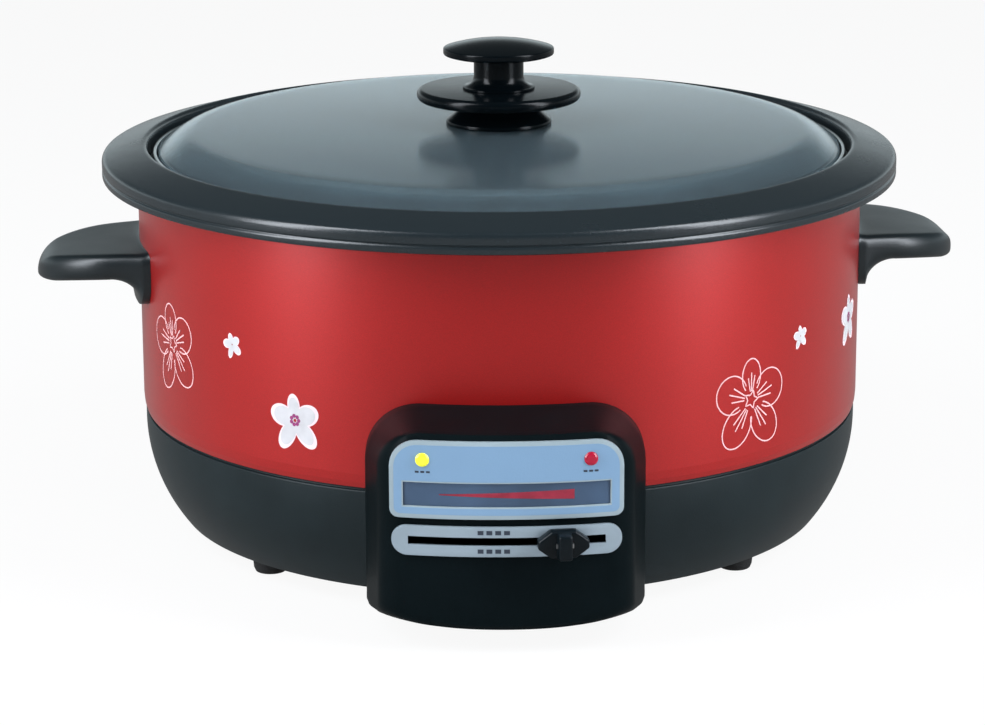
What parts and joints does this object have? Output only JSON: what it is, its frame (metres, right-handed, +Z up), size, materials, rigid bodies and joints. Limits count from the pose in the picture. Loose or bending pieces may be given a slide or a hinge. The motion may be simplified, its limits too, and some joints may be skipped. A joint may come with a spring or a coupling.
{
  "type": "multicooker",
  "caption": "Round electric multicooker with a removable coated pan, a loose glass lid with a knob, side handles and a slide temperature control on a front box.",
  "frame": {"origin": "on the table under the pot's vertical axis", "axes": "+Z up along the pot's axis, -Y towards the control box, +X to the right of someone facing it"},
  "size_m": [0.3474, 0.3257, 0.1856],
  "materials": {
    "lid_glass": "clear, slightly smoked, polished",
    "band_steel": "polished",
    "knob_plastic": "glossy black",
    "fastener_steel": "zinc plated",
    "silicone": "matt translucent grey",
    "pan_coating": "dark non-stick coating, satin",
    "shell_paint": "red metallic paint with pale blossom prints",
    "liner_steel": "galvanised",
    "base_plastic": "satin dark grey",
    "handle_plastic": "satin dark grey",
    "box_plastic": "satin near black",
    "foot_rubber": "matt black",
    "fascia_print": "pale blue print with a grey border",
    "scale_print": "smoked window over a red heat wedge",
    "track_plate": "silver grey",
    "warm_lens": "yellow translucent",
    "heat_lens": "red translucent",
    "slider_plastic": "satin black",
    "lever_steel": "zinc plated strip",
    "shaft_brass": "turned",
    "thermostat_ceramic": "matt ceramic",
    "heater_aluminium": "cast, machined top",
    "element_sheath": "oxidised",
    "sensor_steel": "drawn",
    "spring_steel": "bright wire",
    "inlet_plastic": "matt black",
    "pin_brass": "nickelled"
  },
  "bodies": {
    "housing": {"outer_shell": "shell_paint", "inner_liner": "liner_steel", "base_bowl": "base_plastic", "bottom_cover": "liner_steel", "cover_screws": "fastener_steel", "feet": "foot_rubber", "left_handle": "handle_plastic", "right_handle": "handle_plastic", "handle_screws": "fastener_steel", "control_housing": "box_plastic", "housing_screws": "fastener_steel", "panel_plate": "fascia_print", "scale_window": "scale_print", "slide_track": "track_plate", "warm_lamp": "warm_lens", "heat_lamp": "heat_lens", "thermostat_body": "thermostat_ceramic", "thermostat_bracket": "fastener_steel", "heater_plate": "heater_aluminium", "heating_element": "element_sheath", "heater_spacers": "fastener_steel", "heater_screws": "fastener_steel", "sensor_guide": "liner_steel", "thermal_fuse": "thermostat_ceramic", "power_inlet": "inlet_plastic", "inlet_pins": "pin_brass"},
    "slider": {"slider_knob": "slider_plastic", "slide_lever": "lever_steel", "thermostat_shaft": "shaft_brass"},
    "pan": {"cooking_pan": "pan_coating"},
    "lid": {"lid_glass": "lid_glass", "lid_band": "band_steel", "lid_knob": "knob_plastic", "knob_guard": "knob_plastic", "knob_seat": "knob_plastic", "knob_screw": "fastener_steel", "knob_washer": "fastener_steel", "knob_gasket": "silicone", "steam_vent": "band_steel"},
    "sensor": {"sensor_can": "sensor_steel", "sensor_spring": "spring_steel"}
  },
  "joints": [
    {"name": "pan_lift", "type": "slide", "parent": "housing", "child": "pan", "axis": [0, 0, 1], "range_m": [0, 0.13]},
    {"name": "lid_lift", "type": "slide", "parent": "pan", "child": "lid", "axis": [0, 0, 1], "range_m": [0, 0.15]},
    {"name": "slide_control", "type": "hinge", "parent": "housing", "child": "slider", "pos_m": [0, 0, 0.0126], "axis": [0, 0, 1], "range_deg": [-16.5, 3.4]},
    {"name": "sensor_rise", "type": "slide", "parent": "housing", "child": "sensor", "axis": [0, 0, 1], "range_m": [0, 0.0035], "deforming": ["sensor_spring"]}
  ],
  "couplings": [
    {"joint": "sensor_rise", "follows": "pan_lift", "ratio": 0.026}
  ]
}
